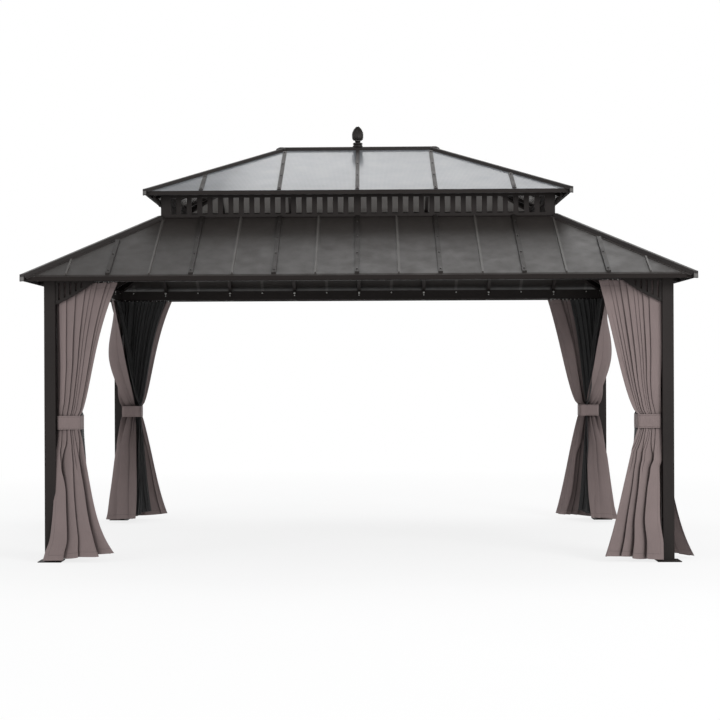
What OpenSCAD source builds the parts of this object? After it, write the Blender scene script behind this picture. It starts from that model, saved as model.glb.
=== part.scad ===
// Hardtop gazebo, 12 by 16 ft class: four posts, a hipped sheet-metal roof, a slatted
// vent band, a smaller hipped polycarbonate roof with a ridge finial, and tied curtains.
// Millimetres, +Z up, origin on the ground under the middle of the roof, front towards -Y.

/* [Lower roof] */
// Length of the lower roof between its end eaves
roof_l = 4820; // [4400:10:6000]
// Width of the lower roof between its front and rear eaves
roof_w = 3620; // [2900:10:4200]
// Height of the eave edge above the ground
eave_z = 2065; // [1900:5:2600]
// Plan distance from the eave to the vent band
lower_run = 890; // [700:5:1100]
// Rise of the lower roof from the eave to the vent band
lower_rise = 503; // [350:1:700]
// Thickness of the roof sheet
sheet_t = 3; // [1:0.5:5]
// Distance between neighbouring ribs, every second one being a panel joint
rib_pitch = 300; // [220:5:400]
// Width of a folded rib
rib_w = 12; // [8:1:20]
// Height of a folded rib
rib_h = 14; // [8:1:20]
// Width of the strip that covers a panel joint
strip_w = 32; // [24:1:50]
// Height of the strip that covers a panel joint
strip_h = 17; // [8:1:24]
// Height of the fascia below the eave edge
fascia_h = 28; // [15:1:60]
// Thickness of the fascia
fascia_t = 3; // [2:0.5:6]
// Depth of the fascia lip that laps over the sheet
fascia_lip = 24; // [12:1:40]

/* [Hip caps] */
// Width of a lower hip cap over its side flanges
cap_w = 92; // [70:2:120]
// Width of its raised middle
cap_crown_w = 54; // [30:2:66]
// Height of its raised middle above the hip line
cap_crown_h = 22; // [12:1:35]
// Width of an upper hip cap over its side flanges
upper_cap_w = 64; // [50:2:90]
// Width of the raised middle of an upper hip cap
upper_crown_w = 44; // [24:2:48]
// Height of the raised middle of an upper hip cap
upper_crown_h = 18; // [10:1:30]

/* [Rafters] */
// Width of a rafter
rafter_w = 30; // [20:1:45]
// Depth of a rafter
rafter_h = 40; // [30:1:60]
// Width of a hip rafter
hip_rafter_w = 40; // [30:1:60]
// Depth of a hip rafter
hip_rafter_h = 50; // [40:1:70]

/* [Posts and beams] */
// Side of a square post
post_w = 80; // [70:1:120]
// Plan distance from the eave to the outer face of a post
overhang = 130; // [80:5:250]
// Side of a base plate
plate_w = 170; // [140:2:220]
// Thickness of a base plate
plate_t = 6; // [4:0.5:12]
// Distance between the anchor holes of a base plate
anchor_pitch = 130; // [110:1:170]
// Diameter of an anchor hole
anchor_d = 12; // [8:0.5:16]
// Width of a beam
beam_w = 60; // [50:1:80]
// Height of a beam
beam_h = 72; // [60:1:120]
// Depth of rafter that passes over the outer edge of a beam
rafter_seat = 16; // [10:1:25]
// Width of the double curtain track under a beam
track_w = 32; // [24:1:36]
// Height of the double curtain track
track_h = 12; // [8:1:20]

/* [Corner brackets] */
// Length of a bracket along its beam
bracket_l = 290; // [200:5:400]
// Height of a bracket at its post
bracket_h = 182; // [120:2:260]
// Height that is left at the far end of a bracket
bracket_tip = 14; // [8:1:30]
// Thickness of a bracket
bracket_t = 18; // [12:1:20]
// Distance between neighbouring slots
slot_pitch = 41; // [30:1:60]
// Width of a slot
slot_w = 15; // [8:1:22]
// Width of the solid rim around the slots
bracket_rim = 22; // [14:1:30]

/* [Vent band] */
// Height of the vent band
vent_h = 184; // [120:2:260]
// Side of a vent corner post
vent_post_w = 76; // [50:1:100]
// Width of a vent slat
slat_w = 38; // [25:1:60]
// Clear gap that is aimed at between slats
slat_gap = 41; // [25:1:60]
// Thickness of a vent slat
slat_t = 12; // [6:1:18]
// Height of the rails above and below the slats
vent_rail_h = 28; // [16:1:40]
// Thickness of the rails
vent_rail_t = 20; // [14:1:30]
// Width of the wider slat in the middle of each side
mullion_w = 54; // [40:1:80]
// Width of the rings above and below the vent band
ring_w = 40; // [30:1:60]
// Height of the ring below the vent band
lower_ring_h = 40; // [30:1:60]
// Height of the ring above the vent band
upper_ring_h = 28; // [20:1:40]

/* [Upper roof] */
// Plan distance that the upper eave stands out from the vent band
upper_overhang = 108; // [60:2:200]
// Rise of the upper roof from its eave to the ridge
upper_rise = 450; // [300:5:600]
// Thickness of a polycarbonate panel
panel_t = 6; // [4:1:10]
// Distance between the upper rafters
upper_pitch = 600; // [400:10:800]
// Width of an upper rafter
upper_rafter_w = 25; // [20:1:35]
// Depth of an upper rafter
upper_rafter_h = 25; // [20:1:35]
// Width of an upper hip rafter
upper_hip_w = 35; // [24:1:45]
// Depth of an upper hip rafter
upper_hip_h = 35; // [24:1:45]
// Width of the strip over an upper rafter
upper_strip_w = 30; // [20:1:40]
// Height of the strip over an upper rafter
upper_strip_h = 8; // [4:1:16]
// Height of the upper eave bar
eave_bar_h = 30; // [20:1:45]
// Width of the upper eave bar
eave_bar_w = 25; // [18:1:40]
// Width of the ridge beam
ridge_w = 50; // [40:1:80]
// Depth of the ridge beam
ridge_h = 40; // [30:1:60]
// Thickness of the braces under the upper corners
brace_t = 14; // [8:1:20]

/* [Finial] */
// Diameter of the pine cone
cone_d = 98; // [60:1:130]
// Height of the pine cone
cone_h = 128; // [80:1:180]
// Diameter of the turned foot
foot_d = 82; // [50:1:110]
// Height of the turned foot and neck together
foot_h = 46; // [30:1:80]

/* [Curtains] */
// Width of a drawn-back curtain at its track
curtain_w = 430; // [300:10:600]
// Thickness of the gathered folds at the track
curtain_t = 26; // [16:1:28]
// Width of the tied bundle
waist_w = 160; // [120:5:220]
// Height of the lower edge of the tie band
tie_z = 962; // [700:5:1200]
// Height of the tie band
tie_h = 100; // [60:5:140]
// Gap between the hem and the ground
hem_gap = 20; // [10:1:60]

/* [Hidden] */
$fn = 48;
gap = 0.3;
mitre_gap = 0.2;
soft_gap = 10;
half_l = roof_l / 2;
half_w = roof_w / 2;
lower_tan = lower_rise / lower_run;
vent_l = half_l - lower_run;
vent_w = half_w - lower_run;
vent_z = eave_z + lower_rise;
vent_top = vent_z + vent_h;
upper_l = vent_l + upper_overhang;
upper_w = vent_w + upper_overhang;
upper_tan = upper_rise / upper_w;
panel_drop = panel_t / cos(atan(upper_tan));
rafter_drop = upper_rafter_h / cos(atan(upper_tan));
// The rafters bear on the outer edge of the upper ring
upper_z = vent_top + upper_ring_h + panel_drop + rafter_drop - upper_overhang * upper_tan;
ridge_z = upper_z + upper_rise;
ridge_half = upper_l - upper_w;
post_x = half_l - overhang - post_w;
post_y = half_w - overhang - post_w;
beam_inset = (post_w - beam_w) / 2;
beam_top = eave_z + (overhang + beam_inset) * lower_tan - sheet_t / cos(atan(lower_tan)) - rafter_seat;
beam_z = beam_top - beam_h;
post_top = eave_z + overhang * lower_tan - hip_rafter_h / 2;
track_in = beam_inset + 2;
track_z = beam_z - track_h;
end_t = 6;
end_bite = 4;
cap_skin = 2.5;
web_w = 8;
nose_t = 3;

SIDES = ["front", "right", "rear", "left"];
CORNERS = [["front_left", 1, 1], ["front_right", 0, 1], ["rear_left", 1, 0], ["rear_right", 0, 0]];

FRAME_COLOUR = [0.17, 0.16, 0.15];
SHEET_COLOUR = [0.34, 0.32, 0.30];
PANEL_COLOUR = [0.78, 0.80, 0.83];
CURTAIN_COLOUR = [0.52, 0.46, 0.44];
NETTING_COLOUR = [0.08, 0.08, 0.09];

// Half length of the eave on side i of a roof, and that eave's distance from the middle
function eave_half(i, l, w) = i % 2 == 0 ? l : w;
function eave_dist(i, l, w) = i % 2 == 0 ? w : l;

// Rib numbers that fit on an eave, with half a pitch left free at each hip
function last_rib(half, pitch) = floor((half - pitch / 2) / pitch);
function ribs(half, pitch, first, step) =
    [for (k = [-last_rib(half, pitch) : last_rib(half, pitch)]) if (abs(k) % step == first) k * pitch];

// How far up the slope a piece of width w at x may run before it meets a hip member
function run_at(x, half, run, w, hip_w) = min(run, half - abs(x) - w / 2 - hip_w / 2 * sqrt(2));

// Hip pitch, and the fall of a roof plane beside its hip
function hip_pitch(t) = atan(t / sqrt(2));
function hip_fall(t) = sin(hip_pitch(t));

// Turn a side's pieces, drawn for the front, to side i
module on_side(i) rotate([0, 0, 90 * i]) children();

// Draw the pieces of one corner. X runs inward along the long side, Y along the short side,
// from the inner corner of the post
module at_corner(corner)
    mirror([corner[1], 0, 0])
        mirror([0, corner[2], 0])
            translate([post_x, post_y, 0])
                rotate([0, 0, 180])
                    children();

module at_all_corners() for (corner = CORNERS) at_corner(corner) children();

// Draw at each corner of a rectangle, X running level and inward at 45 degrees
module on_diagonals(l, w, z)
    for (mx = [0, 1], my = [0, 1])
        mirror([mx, 0, 0])
            mirror([0, my, 0])
                translate([l, w, z])
                    rotate([0, 0, -135])
                        children();

// Draw along each hip, X running up the hip from the eave corner
module on_hips(l, w, z, t)
    on_diagonals(l, w, z)
        rotate([0, -hip_pitch(t), 0])
            children();

// A profile in Y and Z, extruded by a length centred on X
module along_x(points, length)
    rotate([90, 0, 90])
        linear_extrude(height = length, center = true)
            polygon(points);

// The same profile, extruded from x0 to x1
module from_to(points, x0, x1) translate([(x0 + x1) / 2, 0, 0]) along_x(points, x1 - x0);

module block(low, high) translate(low) cube(high - low);

// Everything that belongs to the front side, up to the vertical planes through the hips
module mitred(half, dist) {
    end = half - mitre_gap;
    intersection() {
        children();
        linear_extrude(height = 2 * ridge_z)
            polygon(end > dist
                ? [[-end, -dist], [end, -dist], [end - dist, 0], [dist - end, 0]]
                : [[-end, -dist], [end, -dist], [0, end - dist]]);
    }
}

// A band that follows a slope of the front side, from d0 to d1 behind the eave and from
// height h0 to h1 above the roof plane
function slope_band(dist, z, t, d0, d1, h0, h1) = [
    [d0 - dist, z + d0 * t + h0],
    [d1 - dist, z + d1 * t + h0],
    [d1 - dist, z + d1 * t + h1],
    [d0 - dist, z + d0 * t + h1]
];

// ---------------------------------------------------------------- posts and beams

module base_plates()
    color(FRAME_COLOUR)
        at_all_corners()
            translate([-post_w / 2, -post_w / 2, 0])
                difference() {
                    translate([-plate_w / 2, -plate_w / 2, 0])
                        cube([plate_w, plate_w, plate_t]);
                    for (x = [-1, 1], y = [-1, 1])
                        translate([x * anchor_pitch / 2, y * anchor_pitch / 2, -1])
                            cylinder(h = plate_t + 2, d = anchor_d);
                }

module post(corner)
    color(FRAME_COLOUR)
        at_corner(corner)
            block([-post_w, -post_w, plate_t], [0, 0, post_top]);

module beam(i)
    color(FRAME_COLOUR)
        on_side(i)
            block([-eave_half(i, post_x, post_y), -eave_dist(i, post_x, post_y) - post_w + beam_inset, beam_z],
                  [eave_half(i, post_x, post_y), -eave_dist(i, post_x, post_y) - beam_inset, beam_top]);

module curtain_tracks()
    color(FRAME_COLOUR)
        for (i = [0 : 3])
            on_side(i)
                block([2 - eave_half(i, post_x, post_y), -eave_dist(i, post_x, post_y) - track_in - track_w, track_z],
                      [eave_half(i, post_x, post_y) - 2, -eave_dist(i, post_x, post_y) - track_in, beam_z]);

// Lower edge of a bracket, a shallow sagging curve from the post up to the tip
function bracket_edge(x) =
    beam_z - bracket_h + (bracket_h - bracket_tip) * (0.72 * x / bracket_l + 0.28 * pow(x / bracket_l, 2));

module bracket_panel() {
    steps = 12;
    rotate([90, 0, 0])
        linear_extrude(height = bracket_t)
            difference() {
                polygon(concat(
                    [[0, beam_z]],
                    [for (k = [0 : steps]) [bracket_l * k / steps, bracket_edge(bracket_l * k / steps)]],
                    [[bracket_l, beam_z]]));
                for (x = [bracket_rim : slot_pitch : bracket_l - bracket_rim])
                    if (bracket_edge(x + slot_w) + 1.4 * bracket_rim < beam_z - bracket_rim)
                        polygon([
                            [x, bracket_edge(x) + bracket_rim],
                            [x + slot_w, bracket_edge(x + slot_w) + bracket_rim],
                            [x + slot_w, beam_z - bracket_rim],
                            [x, beam_z - bracket_rim]
                        ]);
            }
}

// One bracket under the long beam and one under the short beam
module brackets(corner)
    color(FRAME_COLOUR)
        at_corner(corner) {
            translate([0, beam_inset - post_w + bracket_t, 0])
                bracket_panel();
            mirror([1, -1, 0])
                translate([0, beam_inset - post_w + bracket_t, 0])
                    bracket_panel();
        }

// ---------------------------------------------------------------- lower roof

sheet_drop = sheet_t / cos(atan(lower_tan));
rafter_fall = rafter_h / cos(atan(lower_tan));
rib_start = fascia_lip + 2;
tail_clear = 3;

// Posts and beams with a clearance, as the notches that they leave in the rafters, and the
// space below the level cut of the rafter tails
module frame_notches() {
    block([-half_l, -half_w, 0], [half_l, half_w, eave_z - fascia_h + tail_clear]);
    for (i = [0 : 3])
        on_side(i)
            block([-eave_half(i, post_x, post_y), -eave_dist(i, post_x, post_y) - post_w + beam_inset - gap, 0],
                  [eave_half(i, post_x, post_y), gap - eave_dist(i, post_x, post_y) - beam_inset, beam_top + gap]);
    at_all_corners()
        block([-post_w - gap, -post_w - gap, 0], [gap, gap, post_top + gap]);
}

module lower_rafters()
    color(FRAME_COLOUR)
        difference() {
            for (i = [0 : 3])
                on_side(i)
                    for (x = ribs(eave_half(i, half_l, half_w), rib_pitch, 0, 2))
                        translate([x, 0, 0])
                            along_x(slope_band(eave_dist(i, half_l, half_w), eave_z, lower_tan,
                                fascia_t + gap,
                                run_at(x, eave_half(i, half_l, half_w), lower_run + 2, rafter_w, hip_rafter_w) - gap,
                                -sheet_drop - rafter_fall - gap, -sheet_drop - gap), rafter_w);
            frame_notches();
        }

// A bar under the roof planes, its top following the fall on both sides of the hip
function hip_bar(w, h, t, drop) = [
    [-w / 2, -drop - h],
    [w / 2, -drop - h],
    [w / 2, -drop - w / 2 * hip_fall(t)],
    [0, -drop],
    [-w / 2, -drop - w / 2 * hip_fall(t)]
];

module lower_hip_rafters() {
    start = (fascia_t + gap) * sqrt(2) + hip_rafter_w / 2;
    color(FRAME_COLOUR)
        difference() {
            on_hips(half_l, half_w, eave_z, lower_tan)
                from_to(hip_bar(hip_rafter_w, hip_rafter_h, lower_tan, sheet_drop + gap),
                    start / cos(hip_pitch(lower_tan)) + hip_rafter_h * tan(hip_pitch(lower_tan)),
                    (lower_run + 2) * sqrt(2) / cos(hip_pitch(lower_tan)) - hip_rafter_h * tan(hip_pitch(lower_tan)));
            frame_notches();
        }
}

module lower_roof(i) {
    half = eave_half(i, half_l, half_w);
    dist = eave_dist(i, half_l, half_w);
    color(SHEET_COLOUR)
        on_side(i)
            union() {
                mitred(half, dist)
                    along_x(slope_band(dist, eave_z, lower_tan, fascia_t + gap, lower_run - 2, -sheet_drop, 0),
                        2 * half);
                for (x = ribs(half, rib_pitch, 1, 2))
                    translate([x, 0, 0])
                        along_x(slope_band(dist, eave_z, lower_tan, rib_start,
                            run_at(x, half, lower_run - 4, rib_w, cap_w) - gap, -sheet_drop / 2, rib_h), rib_w);
            }
}

module joint_strips()
    color(SHEET_COLOUR)
        for (i = [0 : 3])
            on_side(i)
                for (x = ribs(eave_half(i, half_l, half_w), rib_pitch, 0, 2))
                    translate([x, 0, 0])
                        along_x(slope_band(eave_dist(i, half_l, half_w), eave_z, lower_tan, rib_start,
                            run_at(x, eave_half(i, half_l, half_w), lower_run - 4, strip_w, cap_w) - gap,
                            gap, strip_h), strip_w);

// Upright band at the eave with a lip that laps over the sheet, cut short of the hip caps
module fascias()
    color(SHEET_COLOUR)
        for (i = [0 : 3])
            on_side(i) {
                half = eave_half(i, half_l, half_w);
                dist = eave_dist(i, half_l, half_w);
                mitred(half, dist)
                    block([-half, -dist, eave_z - fascia_h], [half, fascia_t - dist, eave_z]);
                along_x([
                    [-dist, eave_z - 1],
                    [fascia_t - dist, eave_z - 1],
                    [fascia_t - dist, eave_z + fascia_t * lower_tan + gap],
                    [fascia_lip - dist, eave_z + fascia_lip * lower_tan + gap],
                    [fascia_lip - dist, eave_z + fascia_lip * lower_tan + fascia_t],
                    [-dist, eave_z + fascia_t]
                ], 2 * (half - fascia_lip - cap_w / 2 * sqrt(2) - 2));
            }

// Hat profile whose flanges lie on the roof planes on both sides of a hip
function hat(w, crown_w, crown_h, t, skin) = [
    [0, gap],
    [w / 2, gap - w / 2 * hip_fall(t)],
    [w / 2, skin - w / 2 * hip_fall(t)],
    [crown_w / 2, skin - crown_w / 2 * hip_fall(t)],
    [crown_w / 2 - 2, crown_h - 3],
    [crown_w / 2 - 6, crown_h],
    [6 - crown_w / 2, crown_h],
    [2 - crown_w / 2, crown_h - 3],
    [-crown_w / 2, skin - crown_w / 2 * hip_fall(t)],
    [-w / 2, skin - w / 2 * hip_fall(t)],
    [-w / 2, gap - w / 2 * hip_fall(t)]
];

// Caps along the hips, each closed by an upright plate at the eave corner
module hip_caps(l, w, z, t, width, crown_w, crown_h, plan_length, plate_h) {
    on_hips(l, w, z, t)
        from_to(hat(width, crown_w, crown_h, t, cap_skin),
            crown_h * tan(hip_pitch(t)) - end_bite / cos(hip_pitch(t)), plan_length / cos(hip_pitch(t)));
    on_diagonals(l, w, z)
        block([-end_t, -crown_w / 2, -plate_h], [-gap, crown_w / 2, crown_h]);
}

module lower_hip_caps()
    color(SHEET_COLOUR)
        hip_caps(half_l, half_w, eave_z, lower_tan, cap_w, cap_crown_w, cap_crown_h,
            lower_run * sqrt(2) - 2, fascia_h + 2);

// ---------------------------------------------------------------- vent band

// Two rings, each of four mitred bars
module vent_rings()
    color(FRAME_COLOUR)
        for (i = [0 : 3], level = [[vent_z - lower_ring_h, vent_z], [vent_top, vent_top + upper_ring_h]])
            on_side(i) {
                half = eave_half(i, vent_l, vent_w) - 2;
                dist = eave_dist(i, vent_l, vent_w) - 2;
                mitred(half, dist)
                    block([-half, -dist, level[0]], [half, ring_w - dist, level[1]]);
            }

module vent_posts()
    color(FRAME_COLOUR)
        for (x = [-1, 1], y = [-1, 1])
            translate([x * (vent_l - vent_post_w / 2), y * (vent_w - vent_post_w / 2), vent_z + vent_h / 2])
                cube([vent_post_w, vent_post_w, vent_h], center = true);

module vent(i) {
    half = eave_half(i, vent_l, vent_w) - vent_post_w;
    face = -eave_dist(i, vent_l, vent_w);
    bay = half - mullion_w / 2;
    slats = round((bay - slat_gap) / (slat_w + slat_gap));
    pitch = (bay - slats * slat_w) / (slats + 1) + slat_w;
    slat_in = (vent_rail_t - slat_t) / 2;
    color(FRAME_COLOUR)
        on_side(i) {
            block([-half, face, vent_z], [half, face + vent_rail_t, vent_z + vent_rail_h]);
            block([-half, face, vent_top - vent_rail_h], [half, face + vent_rail_t, vent_top]);
            block([-mullion_w / 2, face, vent_z], [mullion_w / 2, face + vent_rail_t, vent_top]);
            for (side = [-1, 1], k = [1 : slats])
                translate([side * (mullion_w / 2 + k * pitch - slat_w / 2), face + slat_in, vent_z + 1])
                    translate([-slat_w / 2, 0, 0])
                        cube([slat_w, slat_t, vent_h - 2]);
        }
}

// ---------------------------------------------------------------- upper roof

module upper_eave_bars()
    color(FRAME_COLOUR)
        for (i = [0 : 3])
            on_side(i) {
                half = eave_half(i, upper_l, upper_w);
                dist = eave_dist(i, upper_l, upper_w);
                mitred(half, dist)
                    along_x([
                        [-dist, upper_z - eave_bar_h],
                        [eave_bar_w - dist, upper_z - eave_bar_h],
                        [eave_bar_w - dist, upper_z + eave_bar_w * upper_tan - panel_drop - gap],
                        [nose_t - dist, upper_z + nose_t * upper_tan - panel_drop - gap],
                        [nose_t - dist, upper_z],
                        [-dist, upper_z]
                    ], 2 * half);
            }

hip_start = (eave_bar_w + gap) * sqrt(2) + upper_hip_w / 2;
hip_end = (upper_w - ridge_w / 2 - gap) * sqrt(2);
upper_hip_depth = upper_hip_h + panel_drop + gap;

module upper_rafters()
    color(FRAME_COLOUR) {
        for (i = [0 : 3])
            on_side(i) {
                half = eave_half(i, upper_l, upper_w);
                dist = eave_dist(i, upper_l, upper_w);
                ridge_d = dist - (i % 2 == 0 ? 0 : ridge_half) - ridge_w / 2;
                for (x = ribs(half, upper_pitch, 0, 1))
                    translate([x, 0, 0])
                        along_x(slope_band(dist, upper_z, upper_tan, eave_bar_w + gap,
                            run_at(x, max(half, dist * 10 * (abs(x) <= ridge_half && i % 2 == 0 ? 1 : 0)),
                                ridge_d, upper_rafter_w, upper_hip_w) - gap,
                            -panel_drop - rafter_drop - gap, -panel_drop - gap), upper_rafter_w);
            }
        difference() {
            on_hips(upper_l, upper_w, upper_z, upper_tan)
                from_to(hip_bar(upper_hip_w, upper_hip_h, upper_tan, panel_drop + gap),
                    hip_start / cos(hip_pitch(upper_tan)),
                    hip_end / cos(hip_pitch(upper_tan)) - upper_hip_depth * tan(hip_pitch(upper_tan)));
            block([2 - vent_l - gap, 2 - vent_w - gap, vent_top],
                  [vent_l - 2 + gap, vent_w - 2 + gap, vent_top + upper_ring_h + gap]);
        }
    }

// A brace from each vent post out to the underside of the hip rafter
module upper_braces() {
    seat = hip_start + 2 * brace_t;
    reach = upper_overhang * sqrt(2) - seat;
    head = upper_z + seat * upper_tan / sqrt(2) - upper_hip_depth / cos(hip_pitch(upper_tan)) - 1.7 * brace_t;
    foot = vent_z + vent_h * 0.4;
    slant = atan2(head - foot, reach);
    start = brace_t * tan(slant) + gap;
    color(FRAME_COLOUR)
        on_diagonals(vent_l, vent_w, foot)
            rotate([0, 0, 180])
                rotate([0, -slant, 0])
                    translate([start, -brace_t / 2, 0])
                        cube([reach / cos(slant) - start, brace_t, brace_t]);
}

module upper_panel(i) {
    half = eave_half(i, upper_l, upper_w);
    dist = eave_dist(i, upper_l, upper_w);
    ridge_d = dist - (i % 2 == 0 ? 0 : ridge_half) - web_w / 2 - gap;
    color(PANEL_COLOUR, 0.6)
        on_side(i)
            mitred(half, dist)
                along_x(slope_band(dist, upper_z, upper_tan, nose_t + gap, ridge_d, -panel_drop, 0), 2 * half);
}

module upper_strips()
    color(FRAME_COLOUR)
        for (i = [0 : 3])
            on_side(i) {
                half = eave_half(i, upper_l, upper_w);
                dist = eave_dist(i, upper_l, upper_w);
                ridge_d = dist - (i % 2 == 0 ? 0 : ridge_half) - upper_cap_w / 2;
                for (x = ribs(half, upper_pitch, 0, 1))
                    translate([x, 0, 0])
                        along_x(slope_band(dist, upper_z, upper_tan, 6,
                            run_at(x, half, ridge_d, upper_strip_w, upper_cap_w) - gap,
                            gap, upper_strip_h), upper_strip_w);
            }

module upper_hip_caps()
    color(FRAME_COLOUR)
        hip_caps(upper_l, upper_w, upper_z, upper_tan, upper_cap_w, upper_crown_w, upper_crown_h,
            (upper_w - upper_cap_w / 2) * sqrt(2), eave_bar_h + 2);

// Ridge beam, its cap over the panels, and the web between them
module ridge() {
    half = ridge_half + upper_cap_w / 2;
    low = ridge_z - ridge_w / 2 * upper_tan - panel_drop - gap;
    color(FRAME_COLOUR) {
        block([-ridge_half - ridge_w / 2, -ridge_w / 2, low - ridge_h],
              [ridge_half + ridge_w / 2, ridge_w / 2, low]);
        block([-ridge_half, -web_w / 2, low - 1], [ridge_half, web_w / 2, ridge_z + 1]);
        along_x([
            [0, ridge_z + gap],
            [upper_cap_w / 2, ridge_z + gap - upper_cap_w / 2 * upper_tan],
            [upper_cap_w / 2, ridge_z + cap_skin - upper_cap_w / 2 * upper_tan],
            [upper_crown_w / 2, ridge_z + cap_skin - upper_crown_w / 2 * upper_tan],
            [upper_crown_w / 2 - 2, ridge_z + upper_crown_h - 3],
            [upper_crown_w / 2 - 6, ridge_z + upper_crown_h],
            [6 - upper_crown_w / 2, ridge_z + upper_crown_h],
            [2 - upper_crown_w / 2, ridge_z + upper_crown_h - 3],
            [-upper_crown_w / 2, ridge_z + cap_skin - upper_crown_w / 2 * upper_tan],
            [-upper_cap_w / 2, ridge_z + cap_skin - upper_cap_w / 2 * upper_tan],
            [-upper_cap_w / 2, ridge_z + gap - upper_cap_w / 2 * upper_tan]
        ], 2 * half);
    }
}

// A turned foot and neck under a pine cone
module finial() {
    steps = 16;
    neck_r = foot_d * 0.22;
    color(FRAME_COLOUR)
        translate([0, 0, ridge_z + upper_crown_h])
            rotate_extrude()
                polygon(concat(
                    [[0, 0], [foot_d / 2, 0], [foot_d / 2, foot_h * 0.15], [foot_d * 0.4, foot_h * 0.3]],
                    [[neck_r, foot_h * 0.5], [neck_r, foot_h * 0.75], [foot_d * 0.34, foot_h * 0.88]],
                    [[foot_d * 0.3, foot_h]],
                    [for (k = [1 : steps - 1]) [
                        cone_d / 2 * pow(sin(180 * pow(k / steps, 0.72)), 0.75),
                        foot_h + cone_h * k / steps
                    ]],
                    [[0, foot_h + cone_h]]));
}

// ---------------------------------------------------------------- curtains

// A curtain drawn back and tied: a box at the track, at the waist and at the hem, each given
// as its lowest and highest X and Y
module gathered(top, waist, hem, z_hem) {
    module slice(plan, z0, z1) block([plan[0], plan[2], z0], [plan[1], plan[3], z1]);
    hull() {
        slice(top, track_z - gap - 4, track_z - gap);
        slice(waist, tie_z + tie_h + 1, tie_z + tie_h + 2);
    }
    slice(waist, tie_z - 2, tie_z + tie_h + 2);
    hull() {
        slice(waist, tie_z - 2, tie_z - 1);
        slice(hem, z_hem, z_hem + 8);
    }
}

// Depths of the tied bundle along the short side, from the post's inner face
long_waist = [-60, 0];
net_waist = [4, 12];
side_waist = [18, 104];
track_edge = -track_in - track_w;
net_edge = soft_gap + waist_w + 14;
tie_t = 3;
tie_seat = 0.4;

// One curtain on the long beam and one on the short beam
module curtains(corner)
    color(CURTAIN_COLOUR)
        at_corner(corner) {
            gathered(
                [soft_gap, curtain_w, track_edge, track_edge + curtain_t],
                [soft_gap, soft_gap + waist_w, long_waist[0], long_waist[1]],
                [soft_gap, curtain_w, -110, 20],
                hem_gap);
            gathered(
                [track_edge, track_edge + curtain_t, soft_gap, curtain_w],
                [soft_gap, soft_gap + waist_w, side_waist[0], side_waist[1]],
                [-240, 150, 46, curtain_w],
                hem_gap);
        }

module netting()
    color(NETTING_COLOUR)
        at_all_corners() {
            gathered(
                [soft_gap, curtain_w - 40, track_edge + curtain_t + 3, -track_in],
                [soft_gap, soft_gap + waist_w, net_waist[0], net_waist[1]],
                [60, curtain_w - 120, 26, 34],
                hem_gap + 30);
            gathered(
                [track_edge + curtain_t + 3, -track_in, soft_gap + 12, curtain_w - 40],
                [net_edge - 8, net_edge, side_waist[0], side_waist[1]],
                [156, 164, 60, curtain_w - 120],
                hem_gap + 30);
        }

module tie_bands() {
    low = [soft_gap - tie_seat - tie_t, long_waist[0] - tie_seat - tie_t];
    high = [net_edge + tie_seat + tie_t, side_waist[1] + tie_seat + tie_t];
    color(CURTAIN_COLOUR)
        at_all_corners()
            difference() {
                block([low[0], low[1], tie_z], [high[0], high[1], tie_z + tie_h]);
                block([low[0] + tie_t, low[1] + tie_t, tie_z - 1],
                      [high[0] - tie_t, high[1] - tie_t, tie_z + tie_h + 1]);
            }
}

base_plates();
for (corner = CORNERS)
    post(corner);
for (i = [0 : 3])
    beam(i);
for (corner = CORNERS)
    brackets(corner);
curtain_tracks();
lower_rafters();
lower_hip_rafters();
for (i = [0 : 3])
    lower_roof(i);
joint_strips();
fascias();
lower_hip_caps();
vent_rings();
vent_posts();
for (i = [0 : 3])
    vent(i);
upper_eave_bars();
upper_rafters();
upper_braces();
for (i = [0 : 3])
    upper_panel(i);
upper_strips();
upper_hip_caps();
ridge();
finial();
for (corner = CORNERS)
    curtains(corner);
netting();
tie_bands();
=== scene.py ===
import math

import bpy
import numpy as np
from mathutils import Matrix, Vector
from mathutils.bvhtree import BVHTree


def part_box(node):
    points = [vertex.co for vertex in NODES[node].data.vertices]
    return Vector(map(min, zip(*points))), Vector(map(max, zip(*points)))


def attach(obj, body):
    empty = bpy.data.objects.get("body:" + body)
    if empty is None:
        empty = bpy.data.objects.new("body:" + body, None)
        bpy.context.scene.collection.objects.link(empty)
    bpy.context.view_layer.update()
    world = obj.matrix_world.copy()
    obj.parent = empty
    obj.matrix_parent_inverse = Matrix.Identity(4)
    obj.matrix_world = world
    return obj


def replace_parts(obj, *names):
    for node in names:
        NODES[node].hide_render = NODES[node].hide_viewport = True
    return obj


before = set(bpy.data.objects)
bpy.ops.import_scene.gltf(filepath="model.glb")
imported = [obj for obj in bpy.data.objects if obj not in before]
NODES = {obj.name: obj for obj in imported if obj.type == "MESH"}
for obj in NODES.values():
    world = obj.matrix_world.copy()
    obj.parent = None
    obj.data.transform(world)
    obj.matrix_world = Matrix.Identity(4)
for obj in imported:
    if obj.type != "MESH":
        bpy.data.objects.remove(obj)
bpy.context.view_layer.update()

CORNERS = {
    "front_left": (-1, -1),
    "front_right": (1, -1),
    "rear_left": (-1, 1),
    "rear_right": (1, 1),
}

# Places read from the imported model, in metres
POST_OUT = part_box("post_rear_right")[1]
POST_IN_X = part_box("post_front_right")[0].x
POST_IN_Y = abs(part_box("post_front_right")[1].y)
TRACK_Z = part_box("curtain_tracks")[0].z
TIE_LOW, TIE_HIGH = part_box("tie_bands")[0].z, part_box("tie_bands")[1].z
BEAM_LOW, BEAM_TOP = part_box("beam_front")[0].z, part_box("beam_front")[1].z
EAVE_X, EAVE_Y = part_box("fascias")[1].x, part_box("fascias")[1].y
VENT_X, VENT_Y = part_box("vent_posts")[1].x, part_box("vent_posts")[1].y
UPPER_X, UPPER_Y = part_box("upper_eave_bars")[1].x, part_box("upper_eave_bars")[1].y
RIDGE_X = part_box("ridge")[1].x
EAVE_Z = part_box("fascias")[1].z
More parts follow.
